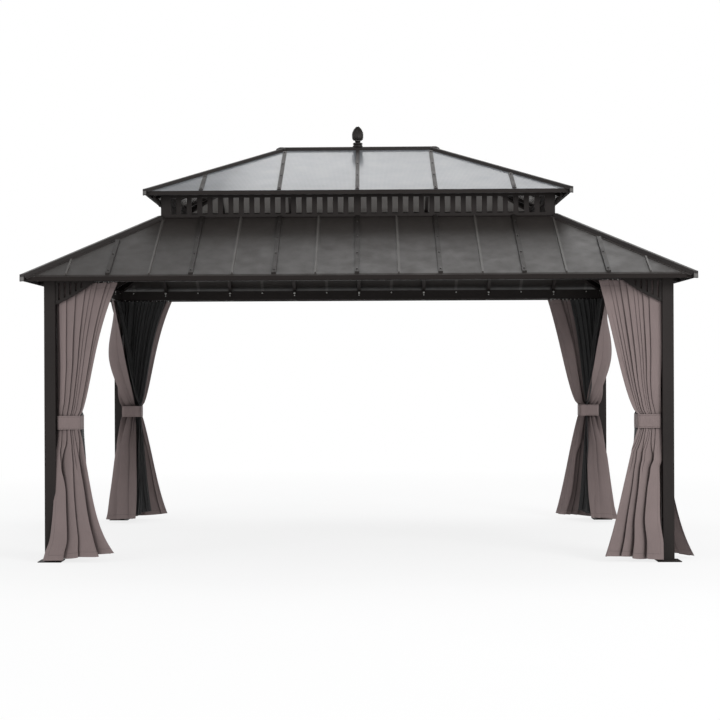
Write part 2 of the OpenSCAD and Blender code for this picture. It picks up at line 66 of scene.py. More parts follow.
# Distance between the strips over the sheet joints, which is that between the rafters too
SHEET_PITCH = 0.6
DOWN = (0, 0, -1)
ABOVE_ROOF = 4.0


# ---------------------------------------------------------------- materials

class Shader:
    """A new node material, with short ways to add and link its nodes."""

    def __init__(self, name):
        self.mat = bpy.data.materials.new(name)
        self.mat.use_nodes = True
        self.tree = self.mat.node_tree
        self.tree.nodes.clear()
        self.out = self.tree.nodes.new("ShaderNodeOutputMaterial")

    def add(self, kind, props=None, **inputs):
        node = self.tree.nodes.new("ShaderNode" + kind)
        for key, value in (props or {}).items():
            setattr(node, key, value)
        for key, value in inputs.items():
            socket = node.inputs[int(key[1:])] if key[0] == "i" and key[1:].isdigit() else None
            socket = socket or node.inputs[key.replace("_", " ")]
            self.feed(socket, value)
        return node

    def feed(self, socket, value):
        if isinstance(value, bpy.types.NodeSocket):
            self.tree.links.new(value, socket)
        elif isinstance(value, bpy.types.Node):
            self.tree.links.new(value.outputs[0], socket)
        else:
            socket.default_value = value

    def math(self, operation, a, b=0.0, c=0.0):
        return self.add("Math", {"operation": operation}, i0=a, i1=b, i2=c)

    def split(self, vector):
        """The X, Y and Z of a vector."""
        node = self.add("SeparateXYZ")
        self.feed(node.inputs[0], vector)
        return node.outputs

    def facing(self):
        """The X, Y and Z of the surface normal."""
        return self.split(self.add("NewGeometry").outputs["Normal"])

    def place(self, kind="Object"):
        return self.add("TexCoord").outputs[kind]

    def noise(self, scale, where, detail=3.0, rough=0.55):
        node = self.add("TexNoise", Scale=scale, Detail=detail, Roughness=rough)
        self.feed(node.inputs["Vector"], where)
        return node.outputs["Fac"]

    def span(self, value, low, high, from_low=0.0, from_high=1.0):
        node = self.add("MapRange", {"clamp": True}, i1=from_low, i2=from_high, i3=low, i4=high)
        self.feed(node.inputs[0], value)
        return node.outputs[0]

    def mix(self, factor, first, second):
        node = self.add("Mix", {"data_type": "RGBA"})
        self.feed(node.inputs[0], factor)
        self.feed(node.inputs[6], first)
        self.feed(node.inputs[7], second)
        return node.outputs[2]

    def bump(self, height, distance, strength=1.0, under=None):
        node = self.add("Bump", Strength=strength, Distance=distance)
        self.feed(node.inputs["Height"], height)
        if under is not None:
            self.feed(node.inputs["Normal"], under)
        return node.outputs["Normal"]

    def finish(self, surface):
        self.feed(self.out.inputs["Surface"], surface)
        return self.mat


def tone(colour, gain):
    return (*(c * gain for c in colour), 1.0)


RIB_HIGHLIGHT_WEIGHT = 0.8
RIB_HIGHLIGHT_COLOUR = (0.062, 0.057, 0.053, 1.0)
RIB_EDGES = (SHEET_PITCH / 2 - 0.016, SHEET_PITCH / 2 - 0.010)
SHADE_HEIGHTS = (EAVE_Z + 0.08, EAVE_Z + 0.55)
DUST_COLOUR = (0.36, 0.33, 0.30, 1.0)


def painted_metal(name, colour, rough, spread=0.16, dust=0.0, waviness=0.0, specular=0.5, ribs=None,
                  shade=None):
    """Powder coat on metal: orange peel, patchy gloss, dust on faces that look up. On roof sheets the
    crowns of the ribs across the given axis get a painted highlight; shade darkens it towards the vent."""
    s = Shader(name)
    where = s.place()
    patches = s.span(s.noise(1.7, where, 4.0), 0.0, 1.0, 0.3, 0.7)
    specks = s.span(s.noise(85.0, where, 2.0), 0.0, 0.35, 0.55, 0.8)
    base = s.mix(patches, tone(colour, 1 - spread), tone(colour, 1 + spread))
    base = s.mix(specks, base, tone(colour, 1.45))
    place = s.split(where)
    if ribs is not None:
        # painted highlight: the crowns of the ribs are coloured paler than the sheet, as lit crowns look
        crown = s.math("PINGPONG", place[ribs], SHEET_PITCH / 2)
        base = s.mix(s.span(crown, 0.0, RIB_HIGHLIGHT_WEIGHT, *RIB_EDGES), base, RIB_HIGHLIGHT_COLOUR)
    if shade is not None:
        base = s.mix(s.span(place[2], 0.0, 1.0, *SHADE_HEIGHTS), base, tone(colour, shade))
    if dust:
        film = s.math("MULTIPLY", s.span(s.facing()[2], 0.0, dust, 0.35, 0.95),
                      s.span(s.noise(6.0, where, 5.0), 0.35, 1.0, 0.35, 0.7))
        base = s.mix(film, base, DUST_COLOUR)
    gloss = s.span(s.noise(9.0, where, 3.0), rough - 0.05, rough + 0.08, 0.3, 0.7)
    peel = s.bump(s.noise(620.0, where, 2.0), 0.0004, 0.22)
    if waviness:
        peel = s.bump(s.noise(2.6, where, 1.0), waviness, 1.0, peel)
    skin = s.add("BsdfPrincipled", Metallic=0.0, Roughness=gloss, Normal=peel)
    s.feed(skin.inputs["Base Color"], base)
    skin.inputs["Specular IOR Level"].default_value = specular
    return s.finish(skin)


def bare_metal(name, colour, rough):
    """Zinc-plated or satin metal with fine turning marks."""
    s = Shader(name)
    where = s.place()
    marks = s.span(s.noise(140.0, where, 4.0), 0.0, 1.0, 0.3, 0.7)
    base = s.mix(marks, tone(colour, 0.75), tone(colour, 1.15))
    skin = s.add("BsdfPrincipled", Metallic=0.9,
                 Roughness=s.span(s.noise(260.0, where), rough - 0.08, rough + 0.1, 0.3, 0.7),
                 Normal=s.bump(s.noise(1500.0, where), 0.0003, 0.25))
    s.feed(skin.inputs["Base Color"], base)
    return s.finish(skin)


def plain_plastic(name, colour, rough):
    """Moulded nylon with a fine grain."""
    s = Shader(name)
    where = s.place()
    marks = s.span(s.noise(45.0, where), 0.0, 1.0, 0.35, 0.65)
    base = s.mix(marks, tone(colour, 0.85), tone(colour, 1.12))
    skin = s.add("BsdfPrincipled",
                 Roughness=s.span(s.noise(90.0, where), rough - 0.04, rough + 0.06, 0.3, 0.7),
                 Normal=s.bump(s.noise(900.0, where), 0.0003, 0.3))
    s.feed(skin.inputs["Base Color"], base)
    return s.finish(skin)


FLUTE_PITCH = 0.010


def twin_wall(name, axis):
    """Translucent twin-wall sheet, its flutes running down the slope across the given axis. The
    underside gets painted shade: it is darker and warmer, and lets less light through."""
    s = Shader(name)
    where = s.place()
    across = s.math("MULTIPLY", s.split(where)[axis], 2 * math.pi / FLUTE_PITCH)
    web = s.math("POWER", s.math("ABSOLUTE", s.math("SINE", s.math("MULTIPLY", across, 0.5))), 14.0)
    haze = s.span(s.noise(3.0, where, 5.0), 0.0, 1.0, 0.3, 0.7)
    tint = s.mix(haze, (0.37, 0.39, 0.42, 1.0), (0.48, 0.50, 0.525, 1.0))
    tint = s.mix(s.math("MULTIPLY", web, 0.2), tint, (0.32, 0.34, 0.36, 1.0))
    # painted shade: faces that look down get a darker, warmer tint and pass less light
    above = s.span(s.facing()[2], 0.0, 1.0, -0.2, 0.2)
    tint = s.mix(above, (0.235, 0.225, 0.218, 1.0), tint)
    through = s.add("BsdfTransparent")
    s.feed(through.inputs["Color"], s.mix(above, (0.56, 0.55, 0.54, 1.0), (0.66, 0.68, 0.71, 1.0)))
    glow = s.add("BsdfTranslucent")
    s.feed(glow.inputs["Color"], tint)
    body = s.add("BsdfDiffuse")
    s.feed(body.inputs["Color"], tint)
    milky = s.add("MixShader", i0=0.55)
    s.feed(milky.inputs[1], body)
    s.feed(milky.inputs[2], glow)
    pane = s.add("MixShader", i0=s.span(web, 0.62, 0.85))
    s.feed(pane.inputs[1], through)
    s.feed(pane.inputs[2], milky)
    gloss = s.add("BsdfGlossy", Roughness=0.16, Normal=s.bump(web, 0.0004, 0.35))
    shine = s.add("MixShader", i0=s.math("MULTIPLY", s.add("Fresnel", IOR=1.5), 0.6))
    s.feed(shine.inputs[1], pane)
    s.feed(shine.inputs[2], gloss)
    return s.finish(shine)


THREAD_PITCH = 0.0011
STITCH_PITCH = 0.006
STITCH_WIDTH = 0.0011


def edge_distance(s, u, v, width, length, share=1.0):
    """Distance to the nearest edge of a cut sheet, with the top and bottom edges' scaled by share."""
    ends = s.math("MINIMUM", v, s.math("SUBTRACT", length, v))
    if share != 1.0:
        ends = s.math("MULTIPLY", ends, share)
    return s.math("MINIMUM", s.math("MINIMUM", u, s.math("SUBTRACT", width, u)), ends)


def woven_cloth(name, colour, width, length, hem=0.022):
    """Woven polyester on a sheet whose UV is in metres: weave, slubs, painted shade in the creases,
    hem folds and their stitches."""
    s = Shader(name)
    uv = s.place("UV")
    u, v, _ = s.split(uv)
    warp, weft = (s.math("SINE", s.math("MULTIPLY", c, 2 * math.pi / THREAD_PITCH)) for c in (u, v))
    weave = s.math("MULTIPLY", s.math("MULTIPLY", warp, weft), 0.5)
    stretch = s.add("Mapping", Vector=uv)
    stretch.inputs["Scale"].default_value = (320.0, 14.0, 1.0)
    slub = s.noise(1.0, stretch.outputs[0], 2.0)
    tones = s.span(s.noise(2.2, uv, 5.0), 0.0, 1.0, 0.3, 0.7)
    base = s.mix(tones, tone(colour, 0.9), tone(colour, 1.08))
    base = s.mix(s.span(slub, 0.0, 0.5, 0.4, 0.75), base, tone(colour, 1.2))
    base = s.mix(s.span(weave, 0.0, 0.28, -0.5, 0.5), base, tone(colour, 0.72))
    # painted shade: the cloth is darkened where ambient occlusion finds it folded in, as in the creases
    crease_shade = s.add("AmbientOcclusion", {"samples": 6}, Distance=0.035).outputs["AO"]
    base = s.mix(s.span(crease_shade, 0.75, 0.0, 0.25, 0.85), base, tone(colour, 0.22))
    edge = edge_distance(s, u, v, width, length, 0.55)
    seam = s.math("COMPARE", edge, hem, STITCH_WIDTH)
    walk = s.math("MULTIPLY", s.math("ADD", u, v), 2 * math.pi / STITCH_PITCH)
    stitch = s.math("MULTIPLY", seam, s.math("GREATER_THAN", s.math("SINE", walk), -0.3))
    base = s.mix(s.math("MULTIPLY", stitch, 0.55), base, tone(colour, 0.35))
    folded = s.math("SUBTRACT", s.math("LESS_THAN", edge, hem), s.math("MULTIPLY", stitch, 1.6))
    height = s.math("ADD", s.math("MULTIPLY", weave, 0.25), folded)
    normal = s.bump(height, 0.0006, 0.55, s.bump(s.noise(26.0, uv, 4.0), 0.004, 0.30))
    skin = s.add("BsdfPrincipled", Roughness=s.span(slub, 0.72, 0.9), Normal=normal)
    s.feed(skin.inputs["Base Color"], base)
    skin.inputs["Specular IOR Level"].default_value = 0.25
    skin.inputs["Sheen Weight"].default_value = 0.12
    skin.inputs["Sheen Roughness"].default_value = 0.45
    glow = s.add("BsdfTranslucent")
    s.feed(glow.inputs["Color"], base)
    both = s.add("MixShader", i0=0.14)
    s.feed(both.inputs[1], skin)
    s.feed(both.inputs[2], glow)
    return s.finish(both)


NET_PITCH = 0.0020
NET_THREAD = 0.00052
NET_TAPE = 0.016


def mesh_net(name, colour, width, length):
    """Knitted insect net: threads with open holes between them, and a solid taped edge."""
    s = Shader(name)
    uv = s.place("UV")
    u, v, _ = s.split(uv)
    bars = [s.math("PINGPONG", c, NET_PITCH / 2) for c in (u, v)]
    thread = s.math("LESS_THAN", s.math("MINIMUM", *bars), NET_THREAD)
    tape = s.math("LESS_THAN", edge_distance(s, u, v, width, length), NET_TAPE)
    solid = s.math("MAXIMUM", thread, tape)
    tones = s.span(s.noise(4.0, uv, 4.0), 0.0, 1.0, 0.3, 0.7)
    skin = s.add("BsdfPrincipled", Roughness=s.span(s.noise(60.0, uv), 0.55, 0.75),
                 Normal=s.bump(s.noise(40.0, uv, 3.0), 0.002, 0.3), Alpha=solid)
    s.feed(skin.inputs["Base Color"], s.mix(tones, tone(colour, 0.8), tone(colour, 1.8)))
    skin.inputs["Sheen Weight"].default_value = 0.15
    return s.finish(skin)


# ---------------------------------------------------------------- mesh helpers

def make_piece(name, verts, faces, material, uv=None):
    """A mesh object that rides on the gazebo and takes the given material."""
    mesh = bpy.data.meshes.new(name)
    mesh.from_pydata([tuple(v) for v in verts], [], [tuple(f) for f in faces])
    if uv is not None:
        layer = mesh.uv_layers.new(name="cut")
        corners = np.empty(len(mesh.loops), dtype=np.int32)
        mesh.loops.foreach_get("vertex_index", corners)
        layer.data.foreach_set("uv", np.asarray(uv, dtype=np.float32)[corners].ravel())
    mesh.materials.append(material)
    mesh.update()
    obj = bpy.data.objects.new(name, mesh)
    bpy.context.scene.collection.objects.link(obj)
    for poly in mesh.polygons:
        poly.use_smooth = True
    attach(obj, "root")
    return obj


def rings_faces(rings, steps):
    """Quads between each ring of points and the next."""
    return [(k * steps + i, k * steps + j, (k + 1) * steps + j, (k + 1) * steps + i)
            for k in range(rings - 1) for i, j in zip(range(steps), [*range(1, steps), 0])]


def end_faces(rings, steps):
    """The faces that close the first and the last ring."""
    return [tuple(range(steps - 1, -1, -1)), tuple((rings - 1) * steps + i for i in range(steps))]


class Parts:
    """Collects many small shapes into one mesh."""

    def __init__(self):
        self.verts, self.faces = [], []

    def add(self, verts, faces, matrix=None):
        start = len(self.verts)
        self.verts += [matrix @ Vector(v) if matrix else Vector(v) for v in verts]
        self.faces += [tuple(start + i for i in f) for f in faces]

    def lathe(self, profile, steps, matrix=None, flats=None):
        """Turns (radius, height) points round local Z; the points listed in flats go round a hexagon."""
        verts = []
        for k, (r, h) in enumerate(profile):
            for i in range(steps):
                a = 2 * math.pi * i / steps
                size = r
                if flats and k in flats:
                    size *= math.cos(math.pi / 6) / math.cos(a % (math.pi / 3) - math.pi / 6)
                verts.append((size * math.cos(a), size * math.sin(a), h))
        self.add(verts, rings_faces(len(profile), steps) + end_faces(len(profile), steps), matrix)

    def tube(self, path, radius, steps=8, caps=True):
        """A round bar along a list of points."""
        path = [Vector(p) for p in path]
        rings = []
        side = None
        for k, p in enumerate(path):
            ahead = (path[min(k + 1, len(path) - 1)] - path[max(k - 1, 0)]).normalized()
            if side is None:
                side = ahead.orthogonal().normalized()
            side = (side - ahead * side.dot(ahead)).normalized()
            up = ahead.cross(side)
            r = radius(k) if callable(radius) else radius
            rings.append([p + (side * math.cos(a) + up * math.sin(a)) * r
                          for a in (2 * math.pi * i / steps for i in range(steps))])
        faces = rings_faces(len(path), steps) + (end_faces(len(path), steps) if caps else [])
        self.add([v for ring in rings for v in ring], faces)

    def plate(self, outline, thick, matrix, bevel=0.0012):
        """A flat plate with softened edges from a convex outline of (x, y) points."""
        centre = Vector((sum(p[0] for p in outline), sum(p[1] for p in outline))) / len(outline)
        inner = [Vector(p) + (centre - Vector(p)).normalized() * bevel for p in outline]
        rings = [(outline, 0.0), (outline, thick - bevel), (inner, thick)]
        verts = [(p[0], p[1], z) for ring, z in rings for p in ring]
        self.add(verts, rings_faces(3, len(outline)) + end_faces(3, len(outline)), matrix)

    def piece(self, name, material, slot):
        obj = make_piece(name, self.verts, self.faces, material)
        obj.data.set_sharp_from_angle(angle=math.radians(35))
        return obj


TREES = {}


def cast(node, start, direction):
    """Where a ray first meets a CAD node, with the normal there."""
    if node not in TREES:
        mesh = NODES[node].data
        TREES[node] = BVHTree.FromPolygons([v.co for v in mesh.vertices],
                                           [tuple(p.vertices) for p in mesh.polygons])
    place, normal, _, _ = TREES[node].ray_cast(Vector(start), Vector(direction))
    if place is None:
        return None, None
    if normal.dot(Vector(direction)) > 0:
        normal = -normal
    return place, normal.normalized()


def seat(place, normal, lift):
    """A frame whose Z is the normal, at that height over the place."""
    turn = normal.to_track_quat("Z", "Y").to_matrix().to_4x4()
    return Matrix.Translation(place + normal * lift) @ turn


# ---------------------------------------------------------------- cloth

def drift(x, seed, waves=4, low=0.6):
    """A smooth repeatable wander of about -1 to 1 over x from 0 to 1."""
    rng = np.random.default_rng(seed)
    total = np.zeros_like(x)
    for k in range(waves):
        total += np.sin(2 * math.pi * ((k + low) * x + rng.random())) * rng.uniform(0.5, 1.0) / (k + 1)
    return total / 1.6


def blend(z, *stops):
    """Smooth value at height z from (height, value) stops, highest first."""
    heights = np.array([s[0] for s in stops][::-1])
    values = np.array([s[1] for s in stops][::-1], dtype=float)
    place = np.clip(np.interp(z, heights, np.arange(len(heights))), 0, len(heights) - 1)
    low = np.minimum(place.astype(int), len(heights) - 2)
    part = place - low
    part = part * part * (3 - 2 * part)
    return values[low] * (1 - part) + values[low + 1] * part


FACE_SLOPE = 0.45
GROOVE_SLOPE = 1.27


def pleats(s, count, seed, groove, kept=None):
    """Slope across the cloth of flat-faced folds parted by narrow grooves, uneven in width and depth.
    With kept, only about that many of the same folds are left and the others have run into them."""
    rng = np.random.default_rng(seed)
    edges = np.concatenate([[0], np.cumsum(rng.uniform(0.35, 1.65, count))])
    edges /= edges[-1]
    if kept is not None:
        near = [int(np.argmin(np.abs(edges - (k + 0.15 + 0.3 * math.sin(seed + 2.4 * k)) / kept)))
                for k in range(1, kept)]
        edges = edges[sorted({0, count, *near})]
    slope = np.zeros_like(s)
    for left, right in zip(edges[:-1], edges[1:]):
        deep = groove * rng.uniform(0.85, 1.15)
        place = (s - left) / (right - left)
        face = (place >= 0) & (place < 1 - deep)
        slope[face] = FACE_SLOPE * np.cos(math.pi * place[face] / (1 - deep)) + rng.uniform(-0.10, 0.10)
        slope[(place >= 1 - deep) & (place < 1 - deep / 2)] = -GROOVE_SLOPE
        slope[(place >= 1 - deep / 2) & (place < 1)] = GROOVE_SLOPE
    kernel = np.hanning(7)
    return np.convolve(np.pad(slope, 3, "edge"), kernel / kernel.sum(), "valid")


def section(angle):
    """Share of the chord and the height off it, walked along cloth of the given slopes, row by row."""
    x = np.cumsum(np.cos(angle), axis=1)
    y = np.cumsum(np.sin(angle), axis=1)
    share = (x - x[:, :1]) / (x[:, -1:] - x[:, :1])
    y -= y[:, :1]
    y -= share * y[:, -1:]
    low, high = share.min(axis=1, keepdims=True), share.max(axis=1, keepdims=True)
    share = (share - low) / (high - low)
    y -= (y.max(axis=1, keepdims=True) + y.min(axis=1, keepdims=True)) / 2
    return share, y


def lap_over(share, y, chord, length, least):
    """Leans each row's folds sideways until the row is as long as the cloth is wide."""
    lean = y / np.maximum(y.max(axis=1) - y.min(axis=1), 1e-6)[:, None]
    lean = lean * np.clip(share / 0.07, 0, 1) * np.clip((1 - share) / 0.07, 0, 1)

    def leaned(amount):
        moved = share + (amount / chord)[:, None] * lean
        low, high = moved.min(axis=1, keepdims=True), moved.max(axis=1, keepdims=True)
        return (moved - low) / (high - low)

    low, high = least.copy(), np.maximum(least, 0.60 * chord)
    for _ in range(14):
        middle = (low + high) / 2
        run = np.hypot(np.diff(leaned(middle), axis=1) * chord[:, None], np.diff(y, axis=1)).sum(axis=1)
        low, high = np.where(run < length, middle, low), np.where(run < length, high, middle)
    soft = np.array([0.25, 0.5, 0.25])
    for _ in range(6):
        low[1:-1] = np.convolve(low, soft, "valid")
    return leaned(low)


CURTAIN_TOP = TRACK_Z - 0.010
HEM_Z = 0.012
# Share of the cut width that every row of a curtain is walked to
ROW_SHARE = 0.88
# How far below the tie the folds go on before they have all run into the kept ones
FOLDS_MEET = 0.46
HEM_WAVE = 0.013
HOOKS = 11


def hanging(seed, width, rows, cols, hem, ends, depth, lap, folds, bulge, hem_rise, side=1):
    """Grid of a gathered curtain in a corner's (u, w, z). The folds are up to depth deep and lie over
    each other sideways by lap, as drawn-back cloth does; both are functions of height, as is bulge."""
    upper, waist, lower = int(rows * 0.5), max(int(rows * 0.05), 3), int(rows * 0.45)
    z = np.concatenate([
        TIE_HIGH + (CURTAIN_TOP - TIE_HIGH) * np.linspace(1, 0, upper) ** 0.9,
        np.linspace(TIE_HIGH, TIE_LOW, waist + 2)[1:-1],
        TIE_LOW - (TIE_LOW - hem) * np.linspace(0, 1, lower) ** 1.05,
    ])
    s = np.linspace(0, 1, cols)
    above, below, groove = folds
    upper_share = blend(z, (CURTAIN_TOP, 1), (TIE_LOW - 0.02, 1), (TIE_LOW - FOLDS_MEET, 0),
                        (hem, 0))[:, None]
    angle = upper_share * pleats(s, above, seed, groove)[None, :]
    angle = angle + (1 - upper_share) * pleats(s, above, seed, groove, below)[None, :]
    angle += 0.05 * drift(s, seed + 400, 30)[None, :]
    start, end = ends(z)
    along = end - start
    chord = np.linalg.norm(along, axis=1)
    share, y = section(angle)
    y *= (side * depth(z) / np.maximum(y.max(axis=1) - y.min(axis=1), 1e-6))[:, None]
    tied = blend(z, (CURTAIN_TOP, 0), (TIE_HIGH + 0.12, 0.2), (TIE_HIGH, 1), (TIE_LOW, 1), (hem, 0))
    y *= 1 - 0.55 * tied[:, None] * np.abs(2 * share - 1) ** 4
    share = lap_over(share, y, chord, ROW_SHARE * width, lap(z))
    normal = np.stack([along[:, 1], -along[:, 0]], axis=1) / chord[:, None]
    out = y + bulge(z)[:, None] * (1 - (2 * share - 1) ** 2)
    out += 0.0012 * drift(np.outer(z, np.ones(cols)) * 0.9 + s[None, :] * 1.7, seed + 900, 4)
    flat = start[:, None, :] + along[:, None, :] * share[:, :, None] + normal[:, None, :] * out[:, :, None]
    fall = np.clip((TIE_LOW - z) / (TIE_LOW - hem), 0, 1)[:, None]
    wave = HEM_WAVE * (1 + drift(s, seed + 77, 6)[None, :])
    lift = fall ** 2 * (hem_rise * np.clip(share, 0, 1) ** 1.5 + wave)
    near_top = np.clip((z[:, None] - TIE_HIGH) / (CURTAIN_TOP - TIE_HIGH), 0, 1) ** 12
    sag = 0.004 * near_top * np.sin(2 * math.pi * HOOKS * s)[None, :]
    places = np.concatenate([flat, (z[:, None] + lift + sag)[..., None]], axis=-1)
    steps = np.linalg.norm(np.diff(places, axis=1), axis=-1)
    walked = np.concatenate([[0], np.cumsum((steps / steps.sum(axis=1, keepdims=True)).mean(axis=0))])
    return flat, places[..., 2], walked


def corner_points(corner, flat, z):
    """World places of a grid given in a corner's own (u, w, z)."""
    sx, sy = CORNERS[corner]
    return np.stack([sx * (POST_IN_X - flat[..., 0]), sy * (POST_IN_Y - flat[..., 1]), z], axis=-1)


def cloth_piece(name, corner, grid, cut, material):
    """A sheet over the grid of a corner's (u, w) and z, its UV the place on the cut cloth in metres."""
    flat, z, s = grid
    places = corner_points(corner, flat, z)
    index = np.arange(z.size).reshape(z.shape)
    quads = np.stack([index[:-1, :-1], index[:-1, 1:], index[1:, 1:], index[1:, :-1]], axis=-1)
    quads = quads.reshape(-1, 4)
    sx, sy = CORNERS[corner]
    if sx * sy > 0:
        quads = quads[:, ::-1]
    run = np.linalg.norm(np.diff(places, axis=0), axis=-1).mean(axis=1)
    down = np.concatenate([[0], np.cumsum(run)])
    down *= cut[1] / down[-1]
    uv = np.stack([np.broadcast_to(s * cut[0], z.shape), np.broadcast_to(down[:, None], z.shape)], axis=-1)
    return make_piece(name, places.reshape(-1, 3), quads.tolist(), material, uv.reshape(-1, 2))


CURTAIN_DROP = 2.06
LONG_CUT, SHORT_CUT = (1.64, CURTAIN_DROP), (1.30, CURTAIN_DROP)
LONG_NET, SHORT_NET = (0.90, CURTAIN_DROP), (0.72, CURTAIN_DROP)
NET_HEM_Z = 0.05
FOLD_DEPTH = (0.022, 0.030, 0.012, 0.030, 0.040)
NET_DEPTH = (0.020, 0.020, 0.010, 0.020, 0.020)


def edge_line(z, top, waist, hem, sag, bell):
    """A drawn-back edge: from its place at the track, in to the tie, out again to the hem."""
    up = np.clip((z - TIE_HIGH) / (CURTAIN_TOP - TIE_HIGH), 0, 1)
    down = np.clip((TIE_LOW - z) / (TIE_LOW - HEM_Z), 0, 1)
    rise = sag * up ** 0.62 + (1 - sag) * up ** 3
    fall = bell * down ** 0.85 + (1 - bell) * down ** 5
    place = waist[None, :] + (top - waist)[None, :] * rise[:, None]
    return place + (hem - waist)[None, :] * fall[:, None]


def line_ends(start, end, sag, bell=0.62):
    """Both edges of a curtain, each given at the track, the tie and the hem as (u, w)."""
    first = [np.array(p, dtype=float) for p in start]
    last = [np.array(p, dtype=float) for p in end]
    return lambda z: (edge_line(z, *first, sag=0.8, bell=bell - 0.1),
                      edge_line(z, *last, sag=sag, bell=bell))


def stops(top, upper, waist, lower, hem):
    """A value by height, given at the track, above, at and below the tie, and at the hem."""
    return lambda z: blend(z, (CURTAIN_TOP, top), (TIE_HIGH + 0.45, upper), (TIE_HIGH + 0.01, waist),
                           (TIE_LOW - 0.01, waist), (TIE_LOW - 0.35, lower), (HEM_Z, hem))


def long_curtain(corner, seed, look, material):
    """The curtain on the long side's track. One whose hem flares past the post also stands out more."""
    flare, hem_out, hem_rise, sag, bell, above, below = look
    ends = line_ends([(0.003, -0.036), (0.002, -0.030), (flare, -0.110 if flare < 0 else -0.085)],
                     [(0.452, -0.036), (0.174, -0.032), (hem_out, -0.080)], sag, bell)
    grid = hanging(seed, LONG_CUT[0], 96, 340, HEM_Z, ends, stops(0.034, 0.062, 0.054, 0.090, 0.115),
                   stops(*FOLD_DEPTH), (above, below, 0.62), stops(0, 0, 0, 0.012, 0.0), hem_rise)
    obj = cloth_piece(f"curtain_long_{corner}", corner, grid, LONG_CUT, material)
    return obj


def short_curtain(corner, seed, look, material):
    """The curtain on the short side's track."""
    hem_start, tied, hem_end, side = look
    ends = line_ends([(-0.034, 0.006), (0.001, 0.050), hem_start],
                     [(-0.034, 0.440), (tied, 0.054), hem_end], 0.90, 0.75)
    grid = hanging(seed, SHORT_CUT[0], 90, 260, HEM_Z, ends, stops(0.034, 0.062, 0.088, 0.090, 0.110),
                   stops(*FOLD_DEPTH), (7, 4, 0.60), stops(0, -0.085, 0, -0.060, -0.025), 0.02, side)
    obj = cloth_piece(f"curtain_short_{corner}", corner, grid, SHORT_CUT, material)
    return obj


def net(side, corner, seed, cut, size, ends, waist, folds, material):
    """One net, hung inside the curtains, as deep as waist at the tie."""
    grid = hanging(seed, cut[0], *size, NET_HEM_Z, ends, stops(0.024, 0.034, waist, 0.040, 0.050),
                   stops(*NET_DEPTH), folds, stops(0, 0, 0, 0, 0), 0.02)
    obj = cloth_piece(f"net_{side}_{corner}", corner, grid, cut, material)
    return obj


def nets(corner, seed, top_out, tied_out, hem_out, long_material, short_material):
    """Both nets of a corner, which reach that far from the post at the track, the tie and the hem."""
    ends = line_ends([(0.004, -0.006), (0.008, 0.006), (0.062, 0.030)],
                     [(top_out, -0.006), (tied_out - 0.006, 0.006), (hem_out, 0.030)], 0.55, 0.8)
    first = net("long", corner, seed, LONG_NET, (66, 220), ends, 0.022, (12, 9, 0.55), long_material)
    ends = line_ends([(-0.006, 0.010), (tied_out, 0.014), (hem_out * 0.55, 0.045)],
                     [(-0.006, 0.388), (tied_out, 0.096), (hem_out * 0.55, 0.308)], 0.8)
    second = net("short", corner, seed + 3, SHORT_NET, (66, 190), ends, 0.014, (10, 7, 0.55), short_material)
    return first, second


BAND_FAR_U, BAND_FAR_W = 0.1815, 0.1059
BAND_ROUND = 0.024
BAND_LAP = 0.07
BAND_THICK = 0.0016


def tie_band(corner, seed, material):
    """A cloth strap wrapped round the bundle, its end lapped over itself."""
    _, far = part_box("tie_bands")
    u0, u1 = POST_IN_X - far.x - 0.0055, BAND_FAR_U
    w0, w1 = POST_IN_Y - far.y + 0.0015, BAND_FAR_W
    r = BAND_ROUND
    outline = []
    for cu, cw, turn in ((u1 - r, w1 - r, 0), (u0 + r, w1 - r, 1), (u0 + r, w0 + r, 2), (u1 - r, w0 + r, 3)):
        for i in range(9):
            a = math.pi / 2 * (turn + i / 8)
            outline.append((cu + r * math.cos(a), cw + r * math.sin(a)))
    outline = np.array([*outline, outline[0]])
    legs = np.concatenate([[0], np.cumsum(np.linalg.norm(np.diff(outline, axis=0), axis=1))])
    loop = legs[-1]
    length = loop + BAND_LAP
    walk = np.linspace(0, length, 240)
    flat = np.stack([np.interp(walk % loop, legs, outline[:, k]) for k in (0, 1)], axis=-1)
    inward = np.array([(u0 + u1) / 2, (w0 + w1) / 2]) - flat
    inward /= np.linalg.norm(inward, axis=1, keepdims=True)
    rows = np.linspace(0, 1, 15)
    height = TIE_HIGH - TIE_LOW
    dents = 0.0022 * drift(walk / loop, seed, 16)[None, :] * (0.4 + np.abs(2 * rows - 1) ** 2)[:, None]
    dents += 0.0012 * drift(walk / loop + 0.3, seed + 9, 26)[None, :]
    step_out = -BAND_THICK * np.clip((walk - loop + 0.01) / 0.02, 0, 1)[None, :]
    moved = flat[None] + inward[None] * (BAND_THICK + np.abs(dents) + step_out)[..., None]
    z = TIE_HIGH - rows[:, None] * height + 0.0015 * drift(walk / loop, seed + 4, 5)[None, :]
    grid = (moved, z, np.linspace(0, 1, len(walk)))
    obj = cloth_piece(f"tie_{corner}", corner, grid, (length, height), material)
    return obj


